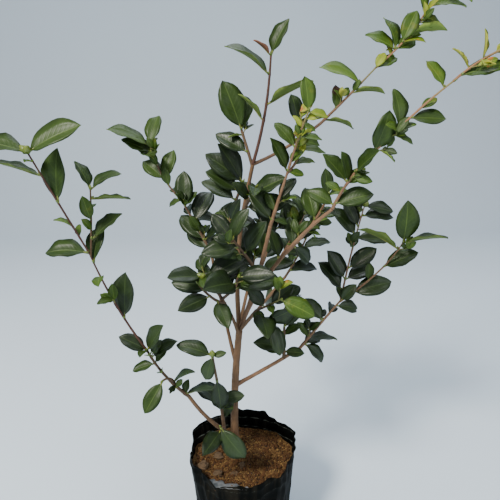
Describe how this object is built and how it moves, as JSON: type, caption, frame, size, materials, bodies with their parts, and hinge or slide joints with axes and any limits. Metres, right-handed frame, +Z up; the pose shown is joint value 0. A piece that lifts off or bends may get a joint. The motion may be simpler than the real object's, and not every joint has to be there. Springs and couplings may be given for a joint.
{
  "type": "camellia shrub in a nursery pot",
  "caption": "Young evergreen shrub with spreading boughs of glossy oval leaves, rooted in a soft round black nursery pot.",
  "frame": {"origin": "middle of the pot's flat underside, which stands on the ground", "axes": "+Z up along the trunk, +X to the right and -Y towards the viewer of the picture"},
  "size_m": [0.3661, 0.2016, 0.5108],
  "materials": {
    "pot": "thin black film, softly creased and dusty",
    "soil": "moist reddish-brown crumbs",
    "bark": "smooth light brown bark",
    "foliage": "glossy evergreen leaves"
  },
  "bodies": {
    "root": {"nursery_pot": "pot", "potting_soil": "soil", "trunk": "bark", "low_left_bough": "bark", "right_bough": "bark", "left_centre_bough": "bark", "left_front_bough": "bark", "centre_front_bough": "bark", "central_leader": "bark", "upper_right_bough": "bark", "upright_bough": "bark", "long_right_bough": "bark", "back_bough": "bark", "back_right_bough": "bark", "foot_foliage": "foliage", "low_left_foliage": "foliage", "right_inner_foliage": "foliage", "right_foliage": "foliage", "left_centre_foliage": "foliage", "left_front_foliage": "foliage", "left_front_side_foliage": "foliage", "left_front_inner_foliage": "foliage", "centre_front_foliage": "foliage", "centre_left_foliage": "foliage", "centre_right_foliage": "foliage", "inner_low_foliage": "foliage", "inner_left_foliage": "foliage", "leader_twig_foliage": "foliage", "leader_low_foliage": "foliage", "tall_foliage": "foliage", "upper_right_side_foliage": "foliage", "upper_right_foliage": "foliage", "upright_foliage": "foliage", "long_right_side_foliage": "foliage", "long_right_inner_foliage": "foliage", "long_right_foliage": "foliage", "back_foliage": "foliage", "back_left_foliage": "foliage", "back_right_foliage": "foliage", "back_low_foliage": "foliage"}
  },
  "joints": []
}
